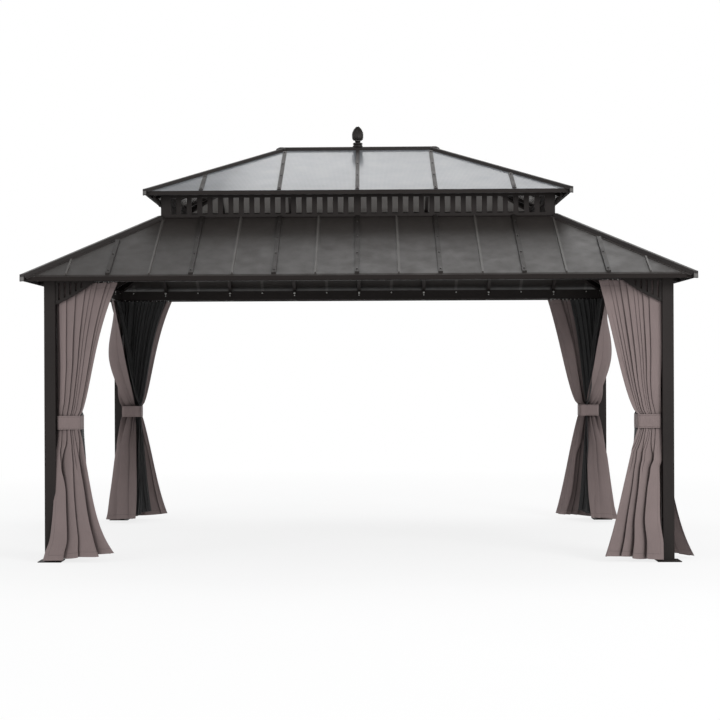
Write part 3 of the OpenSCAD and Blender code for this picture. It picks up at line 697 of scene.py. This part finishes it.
def dress_corners():
    """Curtains, netting and a tie band at each post."""
    taupe, black = (0.250, 0.196, 0.190), (0.009, 0.009, 0.0095)
    long_cloth = woven_cloth("curtain_cloth_long", taupe, *LONG_CUT)
    short_cloth = woven_cloth("curtain_cloth_short", taupe, *SHORT_CUT)
    strap = woven_cloth("curtain_cloth_strap", taupe, 0.67, 0.10, 0.005)
    long_net = mesh_net("net_long_cloth", black, *LONG_NET)
    short_net = mesh_net("net_short_cloth", black, *SHORT_NET)
    # For each corner its seed and three looks. Long curtain: flare of the hem past the post, reach and rise
    # of the hem, sag and bell of the free edge, folds above and below the tie. Short curtain: hem corner by
    # the post, end at the tie, outer hem corner, the way its folds face. Netting: reach at track, tie, hem.
    looks = {
        "front_left": (7, (-0.085, 0.430, 0.032, 0.62, 0.60, 8, 4),
                       ((-0.030, 0.075), 0.166, (0.100, 0.405), -1), (0.388, 0.172, 0.300)),
        "front_right": (23, (0.006, 0.425, 0.012, 0.88, 0.90, 9, 4),
                        ((-0.225, 0.075), 0.166, (0.060, 0.405), -1), (0.388, 0.172, 0.300)),
        "rear_left": (41, (0.020, 0.395, 0.030, 0.62, 0.85, 8, 5),
                      ((-0.140, 0.095), 0.120, (0.130, 0.405), 1), (0.400, 0.172, 0.270)),
        "rear_right": (59, (0.000, 0.375, 0.025, 0.80, 0.90, 8, 5),
                       ((-0.140, 0.100), 0.105, (0.075, 0.405), 1), (0.250, 0.110, 0.190)),
    }
    for corner, (seed, long_look, short_look, reach) in looks.items():
        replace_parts(long_curtain(corner, seed, long_look, long_cloth), f"curtains_{corner}")
        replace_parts(short_curtain(corner, seed + 5, short_look, short_cloth), f"curtains_{corner}")
        for piece in nets(corner, seed + 100, *reach, long_net, short_net):
            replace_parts(piece, "netting")
        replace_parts(tie_band(corner, seed + 200, strap), "tie_bands")


# ---------------------------------------------------------------- fittings

def screw(parts, place, normal, size=1.0, spin=0.0):
    """A hex washer-head roofing screw on its sealing washer."""
    at = seat(place, normal, -0.0006) @ Matrix.Rotation(spin, 4, "Z") @ Matrix.Scale(size, 4)
    parts["washer"].lathe([(0.0085, 0), (0.0085, 0.0016), (0.0075, 0.0022)], 18, at)
    parts["head"].lathe([(0.0074, 0.0018), (0.0074, 0.0026), (0.0062, 0.0032), (0.0049, 0.0034),
                         (0.0049, 0.0072), (0.0042, 0.0078), (0.0012, 0.0078)], 24, at, {3, 4})


def bolt(parts, place, normal, size=1.0, spin=0.3):
    """A hex bolt head with a plain washer."""
    at = seat(place, normal, -0.0004) @ Matrix.Rotation(spin, 4, "Z") @ Matrix.Scale(size, 4)
    parts.lathe([(0.0105, 0), (0.0105, 0.0018), (0.0098, 0.0024)], 20, at)
    parts.lathe([(0.0078, 0.0022), (0.0082, 0.0030), (0.0082, 0.0068), (0.0070, 0.0080), (0.002, 0.0080)],
                24, at, {1, 2, 3})


def strip_screws(parts, node, long_reach, short_reach, edge, insets, size, turn):
    """Screws down each strip of a roof, from the strips up to reach sheets either side of the middle."""
    rows = [(side, sign, k * SHEET_PITCH) for side, reach in ((0, long_reach), (1, short_reach))
            for sign in (-1, 1) for k in range(-reach, reach + 1)]
    for n, (side, sign, along) in enumerate(rows):
        for inset in insets:
            down_slope = sign * (edge[1 - side] - inset)
            x, y = (along, down_slope) if side == 0 else (down_slope, along)
            place, normal = cast(node, (x, y, ABOVE_ROOF), DOWN)
            if place is not None:
                screw(parts, place, normal, size, turn(n, inset))


def roof_screws(dark, rubber):
    """Screws down the joint strips, along the hip caps and on the upper strips."""
    parts = {"head": Parts(), "washer": Parts()}
    strip_screws(parts, "joint_strips", 3, 2, (EAVE_X, EAVE_Y), (0.062, 0.30, 0.54, 0.78), 1.0,
                 lambda n, inset: n * 0.7 + inset * 9)
    for sx, sy in CORNERS.values():
        for k in range(6):
            for off in (-0.0265, 0.0265):
                t = 0.05 + k * 0.163
                x, y = EAVE_X - t + off, EAVE_Y - t - off
                place, normal = cast("lower_hip_caps", (sx * x, sy * y, ABOVE_ROOF), DOWN)
                if place is not None:
                    screw(parts, place, normal, 0.8, k)
    strip_screws(parts, "upper_strips", 2, 1, (UPPER_X, UPPER_Y), (0.035, 0.33, 0.62, 0.93), 0.95,
                 lambda n, inset: inset * 7)
    parts["head"].piece("roof_screws", dark, "frame")
    parts["washer"].piece("roof_screw_washers", rubber, "frame")


def frame_bolts(steel):
    """Bolts through the beams at each rafter, and smaller ones between them on the faces that show."""
    parts = Parts()
    beams = (("beam_front", "beam_rear"), 7), (("beam_left", "beam_right"), 5)
    for sign in (-1, 1):
        for face in (-1, 1):
            for axis, (pair, reach) in enumerate(beams):
                node = pair[sign > 0]
                low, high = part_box(node)
                start = Vector((0, 0, BEAM_TOP - 0.018))
                start[1 - axis] = (low[1 - axis] + high[1 - axis]) / 2 + face * 0.3
                aim = Vector((0, -face, 0) if axis == 0 else (-face, 0, 0))
                for n, k in enumerate(range(-reach, reach + 1)):
                    if n % 2 and face * sign > 0:
                        continue
                    start[axis] = k * SHEET_PITCH / 2
                    place, normal = cast(node, start, aim)
                    if place is not None:
                        bolt(parts, place, normal, 0.9 if n % 2 else 0.6, n)
    parts.piece("frame_bolts", steel, "frame")


def corner_bolts(coated):
    """Coated bolts through the bracket flanges and the post tops."""
    parts = Parts()
    for corner, (sx, sy) in CORNERS.items():
        runs = [(f"brackets_{corner}", BEAM_LOW - drop, 0.62, (POST_IN_X - 0.011, POST_OUT.y + 0.2),
                 (POST_OUT.x + 0.2, POST_IN_Y - 0.011)) for drop in (0.030, 0.155)]
        runs += [(f"post_{corner}", BEAM_LOW + rise, 0.75, (POST_OUT.x - 0.04, POST_OUT.y + 0.3),
                  (POST_OUT.x + 0.3, POST_OUT.y - 0.04)) for rise in (0.016, 0.046)]
        for node, z, size, *starts in runs:
            for (x, y), aim in zip(starts, ((0, -sy, 0), (-sx, 0, 0))):
                place, normal = cast(node, (sx * x, sy * y, z), aim)
                if place is not None:
                    bolt(parts, place, normal, size, z)
    parts.piece("corner_bolts", coated, "frame")


def rafter_cleats(metal, steel):
    """Angle cleats that hold each rafter to the top of its beam, each with a large and a small bolt."""
    plates, bolts = Parts(), Parts()
    thick = 0.003
    outline = [(-0.017, 0), (0.017, 0), (0.017, 0.046), (0.012, 0.052), (-0.012, 0.052), (-0.017, 0.046)]
    for axis, inner, reach in ((0, POST_IN_Y + 0.010, 6), (1, POST_IN_X + 0.010, 4)):
        for sign in (-1, 1):
            for k in range(-reach, reach + 1, 2):
                run = k * SHEET_PITCH / 2
                rows = [(1, 0, 0, run), (0, 0, -sign, sign * inner)]
                turn = Matrix((rows[axis], rows[1 - axis], (0, 1, 0, BEAM_TOP - 0.054), (0, 0, 0, 1)))
                plates.plate(outline, thick, turn)
                for drop, size in ((0.020, 0.85), (0.042, 0.5)):
                    place, normal = Vector((0, 0, BEAM_TOP - drop)), Vector((0, 0, 0))
                    place[axis], place[1 - axis] = run, sign * (inner - thick)
                    normal[1 - axis] = -sign
                    bolt(bolts, place, normal, size, k)
    plates.piece("rafter_cleats", metal, "frame")
    bolts.piece("cleat_bolts", steel, "frame")


GLIDER_LINE = -0.031
GLIDER_PITCH = 0.0365
HOOK_HALF, HOOK_HIGH, HOOK_WIRE = 0.0052, 0.0075, 0.0011


def curtain_gliders(nylon):
    """Sliding gliders under the tracks, each with a ring through the curtain's header."""
    parts = Parts()
    body = [(0.0030, 0), (0.0052, 0.0015), (0.0052, 0.0050), (0.0034, 0.0062), (0.0034, 0.0086)]
    turns = [2 * math.pi * i / 14 for i in range(15)]
    for sx, sy in CORNERS.values():
        for n in range(12):
            run = 0.020 + n * GLIDER_PITCH
            for axis, (u, w) in enumerate(((run, GLIDER_LINE), (GLIDER_LINE, run))):
                x, y = sx * (POST_IN_X - u), sy * (POST_IN_Y - w)
                parts.lathe(body, 12, Matrix.Translation((x, y, TRACK_Z - 0.009)))
                ring = [(x + HOOK_HALF * math.sin(a) * (1 - axis), y + HOOK_HALF * math.sin(a) * axis,
                         TRACK_Z - 0.0155 + HOOK_HIGH * math.cos(a)) for a in turns]
                parts.tube(ring, HOOK_WIRE, 6, False)
    parts.piece("curtain_gliders", nylon, "frame")


def weld_beads(metal):
    """Welds round each post's foot."""
    parts = Parts()
    for sx, sy in CORNERS.values():
        cx, cy = sx * (POST_OUT.x + POST_IN_X) / 2, sy * (POST_OUT.y + POST_IN_Y) / 2
        half = (POST_OUT.x - POST_IN_X) / 2
        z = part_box("base_plates")[1].z
        corners = [(1, 1), (-1, 1), (-1, -1), (1, -1), (1, 1)]
        path = []
        for (ax, ay), (bx, by) in zip(corners, corners[1:]):
            for i in range(26):
                t = i / 26
                path.append((cx + half * (ax + (bx - ax) * t), cy + half * (ay + (by - ay) * t), z + 0.001))
        path.append(path[0])
        parts.tube(path, lambda k: 0.0042 + 0.0007 * math.sin(k * 2.1), 8, False)
    parts.piece("foot_welds", metal, "frame")


PLUG_ROUND = 0.005


def hip_end_plugs(plastic):
    """Moulded end plugs over the eave ends of the hip caps, upper and lower."""
    parts = Parts()
    for node, wide, high in (("lower_hip_caps", 0.026, 0.014), ("upper_hip_caps", 0.020, 0.014)):
        lo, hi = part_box(node)
        shape = []
        for quarter, (a, b) in enumerate(((1, 1), (-1, 1), (-1, -1), (1, -1))):
            for i in range(5):
                t = math.pi / 2 * (quarter + i / 4)
                shape.append((a * (wide - PLUG_ROUND) + PLUG_ROUND * math.cos(t),
                              b * (high - PLUG_ROUND) + PLUG_ROUND * math.sin(t)))
        for sx, sy in CORNERS.values():
            out = Vector((sx, sy, 0)).normalized()
            aim = Vector((sx * (hi.x + 0.5), sy * (hi.y + 0.5), lo.z + high + 0.004))
            place, _ = cast(node, aim, -out)
            if place is not None:
                parts.plate(shape, 0.0045, seat(place, out, -0.002), 0.0016)
    parts.piece("hip_end_plugs", plastic, "frame")


GOLDEN_TURN = 2.399963
SCALES = 150
SCALE_ROWS, SCALE_COLS = 6, 5


def pine_cone(metal):
    """The finial: a turned foot and neck under overlapping scales in a spiral."""
    lo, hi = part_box("finial")
    parts = Parts()
    r = hi.x
    height = hi.z - lo.z
    foot = height * 0.27
    cone = height - foot
    profile = [(r * 0.84, 0), (r * 0.84, 0.010), (r * 0.76, 0.013), (r * 0.66, 0.015), (r * 0.66, 0.017),
               (r * 0.80, 0.020), (r * 0.83, 0.024), (r * 0.81, 0.030), (r * 0.70, 0.034), (r * 0.46, 0.037),
               (r * 0.38, 0.041), (r * 0.44, foot - 0.003), (r * 0.52, foot)]
    parts.lathe(profile, 40, Matrix.Translation((0, 0, lo.z)))

    def girth(t):
        """Radius of the cone's core at a share of its height."""
        return r * math.sin(math.pi * t ** 0.58) ** 0.85

    core = [(max(0.90 * girth(i / 16), 0.0005), foot + cone * i / 16 * 0.97) for i in range(1, 16)]
    parts.lathe(core, 32, Matrix.Translation((0, 0, lo.z)))
    rows, cols = SCALE_ROWS, SCALE_COLS
    last = (rows - 1) * cols
    rim = [*range(cols), *range(2 * cols - 1, last + cols, cols), *range(last + cols - 2, last - 1, -1),
           *range(last - cols, 0, -cols)]
    for k in range(SCALES):
        t = 0.03 + 0.93 * (k / SCALES) ** 0.92
        size = 0.0125 * (0.45 + 0.75 * math.sin(math.pi * min(max(t, 0.05), 0.95)) ** 0.6)
        tilt = math.radians(38 - 62 * t)
        turn = (Matrix.Translation((0, 0, lo.z + foot + cone * t * 0.955))
                @ Matrix.Rotation(k * GOLDEN_TURN, 4, "Z")
                @ Matrix.Translation((0.98 * girth(min(t + 0.01, 0.995)) * 0.90, 0, 0))
                @ Matrix.Rotation(-tilt, 4, "Y"))
        grid = []
        for i in range(rows):
            v = i / (rows - 1)
            half = size * 0.78 * math.sin(math.pi * (0.18 + 0.72 * v)) ** 0.8
            for j in range(cols):
                h = j / (cols - 1) * 2 - 1
                curl = size * 0.32 * (1 - h * h) * (0.4 + v) + size * 0.25 * v * v
                grid.append((curl, half * h, size * (v * 1.45 - 0.5)))
        front = [(p, p + 1, p + cols + 1, p + cols) for p in range(last) if p % cols < cols - 1]
        back = len(grid)
        grid += [(x - size * 0.16, y * 0.92, z) for x, y, z in grid]
        faces = front + [tuple(back + p for p in reversed(f)) for f in front]
        faces += [(q, p, back + p, back + q) for p, q in zip(rim, rim[1:] + rim[:1])]
        parts.add(grid, faces, turn)
    obj = parts.piece("pine_cone_finial", metal, "frame")
    for v in obj.data.vertices:
        flat = math.hypot(v.co.x, v.co.y)
        if flat > hi.x:
            v.co.x *= hi.x / flat
            v.co.y *= hi.x / flat
        v.co.z = min(max(v.co.z, lo.z), hi.z)
    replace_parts(obj, "finial")


def ridge_end_covers(metal):
    """Folded eight-sided covers over the joint of the ridge cap with the hip caps."""
    parts = Parts()
    profile = [(0.052, -0.030), (0.052, -0.023), (0.045, -0.0115), (0.023, 0.0008)]
    for sx in (-1, 1):
        at = Matrix.Translation((sx * (RIDGE_X - 0.002), 0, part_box("ridge")[1].z))
        parts.lathe(profile, 8, at @ Matrix.Rotation(math.pi / 8, 4, "Z"))
    parts.piece("ridge_end_covers", metal, "frame")


def flashing_bead(metal):
    """A bead along the foot of the vent band, where the lower sheets are flashed."""
    parts = Parts()
    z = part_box("vent_posts")[0].z + 0.004
    x, y = VENT_X + 0.004, VENT_Y + 0.004
    path = [(x, y), (-x, y), (-x, -y), (x, -y), (x, y)]
    for (ax, ay), (bx, by) in zip(path, path[1:]):
        n = max(int(math.dist((ax, ay), (bx, by)) / 0.05), 2)
        run = [(ax + (bx - ax) * i / n, ay + (by - ay) * i / n, z) for i in range(n + 1)]
        parts.tube(run, 0.0045, 8)
    parts.piece("vent_flashing_bead", metal, "roof_sheet")


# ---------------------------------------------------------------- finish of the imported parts

def paint_frame(dark, roofs):
    """Gives every CAD node that still shows its own finish, by its slot and name."""
    for name, node in NODES.items():
        slot = node.data.materials[0].name if node.data.materials else ""
        along = 0 if name.endswith(("front", "rear")) else 1
        chosen = roofs[along] if slot == "roof_sheet" else dark
        if name.startswith("upper_panel_"):
            chosen = PANES[along]
        elif name == "joint_strips":
            chosen = STRIP
        elif name == "fascias":
            chosen = FASCIA
        elif name.endswith("hip_caps") or name == "ridge":
            chosen = HIP
        node.data.materials.clear()
        node.data.materials.append(chosen)


# ---------------------------------------------------------------- studio

WORLD_FILL = 0.62
FLOOR_CLEAR = 0.8
FAR, FLOOR_Z = 60.0, -0.0005
LAMPS = [
    ("key", (7.0, -9.0, 6.5), (0.3, 0, 1.2), (4.0, 4.0), 520),
    ("fill", (-8.0, -8.0, 3.5), (0, 0, 1.2), (4.0, 4.0), 150),
    ("top", (1.0, 3.0, 8.0), (0, 0, 2.0), (6.0, 4.0), 180),
]


def studio():
    """A white surround that lights softly, a pale floor that fades into it, and three lamps."""
    scene = bpy.context.scene
    scene.view_settings.view_transform = "Standard"
    world = bpy.data.worlds.new("studio_world")
    scene.world = world
    world.use_nodes = True
    tree = world.node_tree
    tree.nodes.clear()
    out = tree.nodes.new("ShaderNodeOutputWorld")
    seen, soft = tree.nodes.new("ShaderNodeBackground"), tree.nodes.new("ShaderNodeBackground")
    seen.inputs["Color"].default_value = (1, 1, 1, 1)
    seen.inputs["Strength"].default_value = 1.0
    soft.inputs["Color"].default_value = (0.98, 0.99, 1.0, 1)
    soft.inputs["Strength"].default_value = WORLD_FILL
    path = tree.nodes.new("ShaderNodeLightPath")
    first, second = tree.nodes.new("ShaderNodeMath"), tree.nodes.new("ShaderNodeMath")
    first.operation = second.operation = "MAXIMUM"
    tree.links.new(path.outputs["Is Camera Ray"], first.inputs[0])
    tree.links.new(path.outputs["Is Transmission Ray"], first.inputs[1])
    tree.links.new(first.outputs[0], second.inputs[0])
    tree.links.new(path.outputs["Is Glossy Ray"], second.inputs[1])
    mix = tree.nodes.new("ShaderNodeMixShader")
    tree.links.new(second.outputs[0], mix.inputs[0])
    tree.links.new(soft.outputs[0], mix.inputs[1])
    tree.links.new(seen.outputs[0], mix.inputs[2])
    tree.links.new(mix.outputs[0], out.inputs[0])

    s = Shader("studio_floor")
    cloudy = s.span(s.noise(0.7, s.place(), 2.0), 0.0, 1.0, 0.3, 0.7)
    pale = s.mix(cloudy, (0.90, 0.90, 0.90, 1), (0.93, 0.93, 0.93, 1))
    ground = s.add("BsdfDiffuse")
    s.feed(ground.inputs["Color"], pale)
    glow = s.add("Emission", Color=(1.0, 1.0, 1.0, 1.0), Strength=1.0)
    ways = s.add("LightPath")
    clear = s.math("MAXIMUM", ways.outputs["Is Camera Ray"], s.math(
        "MAXIMUM", ways.outputs["Is Glossy Ray"], ways.outputs["Is Transmission Ray"]))
    away = s.add("VectorMath", {"operation": "LENGTH"}, i0=s.place()).outputs["Value"]
    both = s.add("MixShader", i0=s.math("MULTIPLY", clear, s.span(away, FLOOR_CLEAR, 1.0, 3.0, 9.0)))
    s.feed(both.inputs[1], ground)
    s.feed(both.inputs[2], glow)
    floor_material = s.finish(both)
    mesh = bpy.data.meshes.new("studio_floor")
    corners = [(-FAR, -FAR, FLOOR_Z), (FAR, -FAR, FLOOR_Z), (FAR, FAR, FLOOR_Z), (-FAR, FAR, FLOOR_Z)]
    mesh.from_pydata(corners, [], [(0, 1, 2, 3)])
    mesh.materials.append(floor_material)
    floor = bpy.data.objects.new("studio_floor", mesh)
    scene.collection.objects.link(floor)

    for name, place, aim, size, power in LAMPS:
        lamp = bpy.data.lights.new(name, "AREA")
        lamp.shape = "RECTANGLE"
        lamp.size, lamp.size_y = size
        lamp.energy = power
        obj = bpy.data.objects.new(name, lamp)
        obj.location = place
        obj.rotation_euler = (Vector(aim) - Vector(place)).to_track_quat("-Z", "Y").to_euler()
        scene.collection.objects.link(obj)


def camera():
    """Stands before the front, a little right of the middle, and almost level."""
    data = bpy.data.cameras.new("view")
    data.sensor_width = 36.0
    data.lens = 80.62
    data.shift_x, data.shift_y = 0.04861, 0.01389
    data.clip_end = 300
    obj = bpy.data.objects.new("view", data)
    turn = (Matrix.Rotation(0.0254, 4, "Z") @ Matrix.Rotation(math.pi / 2, 4, "X")
            @ Matrix.Rotation(-0.0038, 4, "Z"))
    obj.matrix_world = Matrix.Translation((0.0612, -13.36, 1.389)) @ turn
    bpy.context.scene.collection.objects.link(obj)
    bpy.context.scene.camera = obj


COLOUR = {"frame": (0.0195, 0.0160, 0.0150), "roof_sheet": (0.0200, 0.0170, 0.0155)}
DARK = painted_metal("charcoal_powder_coat", COLOUR["frame"], 0.52, 0.10, dust=0.012, specular=0.16)
ROOFS = [painted_metal(f"roof_powder_coat_{side}", COLOUR["roof_sheet"], 0.46, 0.06, dust=0.015,
                       waviness=0.0018, specular=0.27, ribs=axis)
         for axis, side in enumerate(("long", "short"))]
STRIP = painted_metal("strip_powder_coat", COLOUR["roof_sheet"], 0.48, 0.06, dust=0.010, specular=0.18,
                      shade=0.45)
FASCIA = painted_metal("fascia_powder_coat", COLOUR["frame"], 0.55, 0.08, dust=0.03, specular=0.07)
HIP = painted_metal("hip_powder_coat", COLOUR["frame"], 0.42, 0.10, dust=0.03, specular=0.22)
PANES = [twin_wall("twin_wall_long", 0), twin_wall("twin_wall_short", 1)]
SCREW = painted_metal("screw_coat", (0.024, 0.021, 0.019), 0.38, specular=0.3)
STEEL = bare_metal("zinc_plate", (0.52, 0.52, 0.50), 0.34)
RUBBER = plain_plastic("sealing_rubber", (0.012, 0.012, 0.012), 0.7)
NYLON = plain_plastic("white_nylon", (0.62, 0.61, 0.58), 0.45)
PLUG = plain_plastic("grey_end_plug", (0.11, 0.105, 0.10), 0.42)
CONE = painted_metal("finial_coat", (0.0150, 0.0120, 0.0108), 0.42, specular=0.25)

camera()
studio()
paint_frame(DARK, ROOFS)
roof_screws(SCREW, RUBBER)
frame_bolts(STEEL)
corner_bolts(SCREW)
rafter_cleats(DARK, STEEL)
curtain_gliders(NYLON)
weld_beads(DARK)
hip_end_plugs(PLUG)
ridge_end_covers(DARK)
flashing_bead(DARK)
pine_cone(CONE)
dress_corners()
